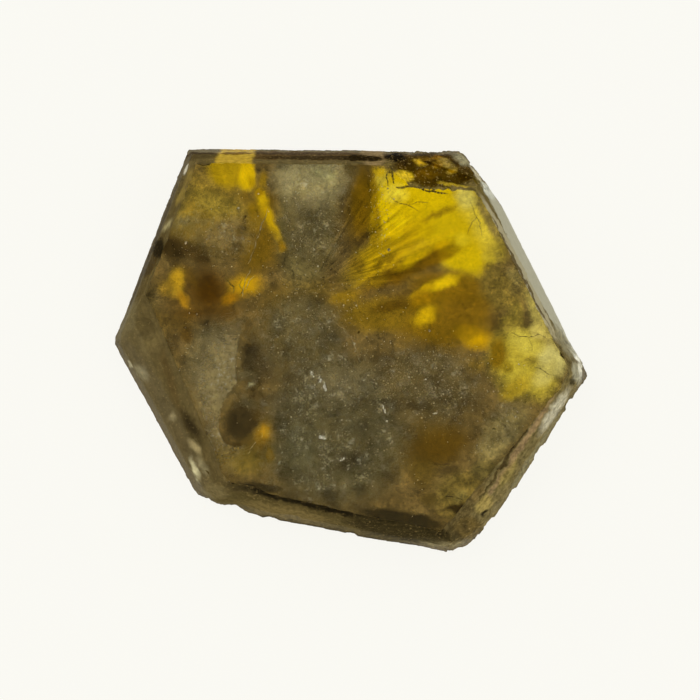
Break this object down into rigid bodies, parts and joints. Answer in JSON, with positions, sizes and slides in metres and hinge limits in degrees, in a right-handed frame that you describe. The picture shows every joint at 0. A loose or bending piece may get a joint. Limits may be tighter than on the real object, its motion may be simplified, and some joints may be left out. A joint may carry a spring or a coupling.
{
  "type": "trapiche quartz slice",
  "caption": "Flat six-sided slice of smoky yellow trapiche quartz with polished faces, natural prism faces round the rim and a broken corner.",
  "frame": {"origin": "middle of the underside, under the middle of the slice's box", "axes": "+Z out of the polished upper face, along the crystal's own long axis; +X along the slice's longest way; +Y towards its straight upper edge"},
  "size_m": [0.0364, 0.031, 0.005],
  "materials": {
    "quartz": "polished faces, satin and rough rim"
  },
  "bodies": {
    "root": {"crystal_slice": "quartz"}
  },
  "joints": []
}
